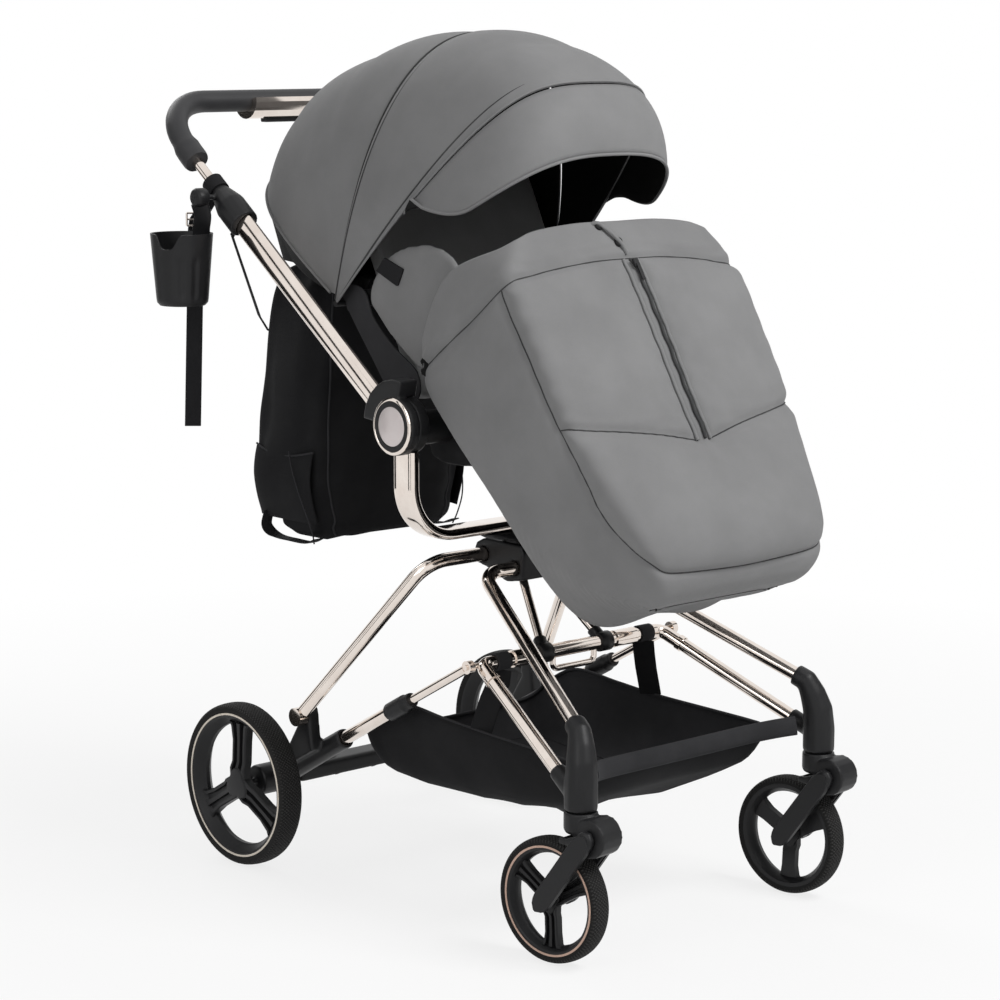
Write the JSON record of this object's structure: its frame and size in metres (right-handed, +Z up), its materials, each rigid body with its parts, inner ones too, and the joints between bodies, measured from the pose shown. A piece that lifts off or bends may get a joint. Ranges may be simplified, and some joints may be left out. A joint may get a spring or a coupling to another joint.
{
  "type": "two-in-one pram",
  "caption": "Folding pram with a swivelling seat on a flat bow, a hooded backrest, a zipped footmuff, swivel front wheels, an under-seat basket, a cup holder and a hanging bag.",
  "frame": {"origin": "middle of the bounding box's footprint, on the ground", "axes": "+Z up, the pram faces -Y and its handle is at +Y, its left side is at +X"},
  "size_m": [0.627, 0.9884, 1.2142],
  "materials": {
    "rose_chrome": "polished champagne-tinted plating",
    "black_plastic": "fine-grained matt black",
    "tyre_rubber": "matt foamed tyre with a diamond tread",
    "leatherette": "smooth black leatherette",
    "grey_fabric": "smooth mid-grey polyester",
    "basket_cloth": "black and slate woven polyester",
    "black_webbing": "black nylon",
    "pearl_cover": "pale pearl disc",
    "zip_metal": "black enamelled zip slider"
  },
  "bodies": {
    "chassis": {"front_leg_tube": "rose_chrome", "front_elbow_left": "black_plastic", "front_elbow_right": "black_plastic", "hub_bracket": "black_plastic", "diagonal_tube_left": "rose_chrome", "diagonal_tube_right": "rose_chrome", "crossbar": "rose_chrome", "hub_strut_left": "rose_chrome", "hub_strut_right": "rose_chrome", "basket": "basket_cloth"},
    "lower_links": {"rear_slide_tube_left": "rose_chrome", "rear_slide_tube_right": "rose_chrome"},
    "rear_carriage": {"rear_lower_tube_left": "rose_chrome", "rear_lower_tube_right": "rose_chrome", "rear_housing_left": "black_plastic", "rear_housing_right": "black_plastic", "rear_axle_beam": "black_plastic"},
    "rear_legs": {"rear_leg_tube": "rose_chrome"},
    "rear_wheel_left": {"rear_rim_left": "black_plastic", "rear_tyre_left": "tyre_rubber"},
    "rear_wheel_right": {"rear_rim_right": "black_plastic", "rear_tyre_right": "tyre_rubber"},
    "brake": {"brake_pedal": "black_plastic"},
    "caster_left": {"caster_head_left": "black_plastic"},
    "fork_left": {"front_fork_left": "black_plastic"},
    "front_wheel_left": {"front_rim_left": "black_plastic", "front_tyre_left": "tyre_rubber"},
    "caster_right": {"caster_head_right": "black_plastic"},
    "fork_right": {"front_fork_right": "black_plastic"},
    "front_wheel_right": {"front_rim_right": "black_plastic", "front_tyre_right": "tyre_rubber"},
    "seat_unit": {"turntable_disc": "black_plastic", "seat_bow": "rose_chrome", "pivot_housing_left": "black_plastic", "pivot_housing_right": "black_plastic", "seat_pan": "grey_fabric", "bumper_bar": "black_plastic", "footmuff": "grey_fabric"},
    "zip": {"zip_slider": "zip_metal"},
    "handle": {"handle_knuckle_left": "black_plastic", "handle_knuckle_right": "black_plastic", "pivot_cover_left": "pearl_cover", "pivot_cover_right": "pearl_cover", "handle_tube_left": "rose_chrome", "handle_tube_right": "rose_chrome", "handle_coupler_left": "black_plastic", "handle_coupler_right": "black_plastic", "wrist_strap": "black_webbing"},
    "handle_bar": {"handle_inner_tube": "rose_chrome", "handle_grip": "leatherette", "button_housing": "rose_chrome"},
    "button": {"handle_button": "black_plastic"},
    "cup": {"cup_holder": "black_plastic"},
    "back": {"backrest": "grey_fabric", "canopy_rear": "grey_fabric", "bag_body": "black_webbing"},
    "hood_front": {"canopy_front": "grey_fabric"},
    "visor": {"canopy_visor": "grey_fabric"}
  },
  "joints": [
    {"name": "frame_fold", "type": "hinge", "parent": "chassis", "child": "lower_links", "pos_m": [0.0249, -0.16795, 0.355], "axis": [-1, 0, 0], "range_deg": [0, 26]},
    {"name": "rear_slide", "type": "slide", "parent": "lower_links", "child": "rear_carriage", "axis": [0, -0.8727, 0.4883], "range_m": [0, 0.09]},
    {"name": "rear_leg_fold", "type": "hinge", "parent": "chassis", "child": "rear_legs", "pos_m": [0.0249, -0.02595, 0.474], "axis": [-1, 0, 0], "range_deg": [0, 29]},
    {"name": "rear_wheel_spin_left", "type": "hinge", "parent": "rear_carriage", "child": "rear_wheel_left", "pos_m": [0.29253, 0.25205, 0.12], "axis": [1, 0, 0], "continuous": true},
    {"name": "rear_wheel_spin_right", "type": "hinge", "parent": "rear_carriage", "child": "rear_wheel_right", "pos_m": [-0.24267, 0.25205, 0.12], "axis": [1, 0, 0], "continuous": true},
    {"name": "brake_press", "type": "hinge", "parent": "rear_carriage", "child": "brake", "pos_m": [0.0249, 0.26005, 0.14], "axis": [-1, 0, 0], "range_deg": [0, 15]},
    {"name": "caster_swivel_left", "type": "hinge", "parent": "chassis", "child": "caster_left", "pos_m": [0.25593, -0.42595, 0.2135], "axis": [0, 0, 1], "continuous": true},
    {"name": "fork_swing_left", "type": "hinge", "parent": "caster_left", "child": "fork_left", "pos_m": [0.25896, -0.45479, 0.184], "axis": [0.9945, 0.1045, 0], "range_deg": [0, 4], "stiffness_Nm_per_rad": 12, "springref_deg": -20.05},
    {"name": "front_wheel_spin_left", "type": "hinge", "parent": "fork_left", "child": "front_wheel_left", "pos_m": [0.25122, -0.38119, 0.085], "axis": [0.9945, 0.1045, 0], "continuous": true},
    {"name": "caster_swivel_right", "type": "hinge", "parent": "chassis", "child": "caster_right", "pos_m": [-0.20607, -0.42595, 0.2135], "axis": [0, 0, 1], "continuous": true},
    {"name": "fork_swing_right", "type": "hinge", "parent": "caster_right", "child": "fork_right", "pos_m": [-0.20304, -0.45479, 0.184], "axis": [0.9945, 0.1045, 0], "range_deg": [0, 4], "stiffness_Nm_per_rad": 12, "springref_deg": -20.05},
    {"name": "front_wheel_spin_right", "type": "hinge", "parent": "fork_right", "child": "front_wheel_right", "pos_m": [-0.21078, -0.38119, 0.085], "axis": [0.9945, 0.1045, 0], "continuous": true},
    {"name": "seat_swivel", "type": "hinge", "parent": "chassis", "child": "seat_unit", "pos_m": [0.0249, -0.08595, 0.497], "axis": [0, 0, 1], "continuous": true},
    {"name": "handle_fold", "type": "hinge", "parent": "seat_unit", "child": "handle", "pos_m": [0.0249, -0.08595, 0.684], "axis": [1, 0, 0], "range_deg": [0, 130]},
    {"name": "handle_telescope", "type": "slide", "parent": "handle", "child": "handle_bar", "axis": [0, -0.7969, -0.6041], "range_m": [0, 0.042]},
    {"name": "button_press", "type": "slide", "parent": "handle_bar", "child": "button", "axis": [0, 0, 1], "range_m": [0, 0.003], "stiffness_N_per_m": 300, "springref_m": -0.003},
    {"name": "cup_tilt", "type": "hinge", "parent": "handle", "child": "cup", "pos_m": [-0.22027, 0.31193, 0.97516], "axis": [1, 0, 0], "range_deg": [-20, 20]},
    {"name": "backrest_recline", "type": "hinge", "parent": "seat_unit", "child": "back", "pos_m": [0.0249, -0.02195, 0.716], "axis": [-1, 0, 0], "range_deg": [0, 25]},
    {"name": "hood_fold", "type": "hinge", "parent": "back", "child": "hood_front", "pos_m": [0.0249, 0.10405, 0.833], "axis": [-1, 0, 0], "range_deg": [0, 60]},
    {"name": "visor_flip", "type": "hinge", "parent": "hood_front", "child": "visor", "pos_m": [0.0249, -0.20333, 1.14362], "axis": [-1, 0, 0], "range_deg": [0, 20]},
    {"name": "zip_slide", "type": "slide", "parent": "seat_unit", "child": "zip", "axis": [0, -0.5178, -0.8555], "range_m": [0, 0.22]}
  ],
  "couplings": [
    {"joint": "rear_slide", "follows": "frame_fold", "m_per_rad": 0.1975},
    {"joint": "rear_leg_fold", "follows": "frame_fold", "ratio": 1.113}
  ]
}
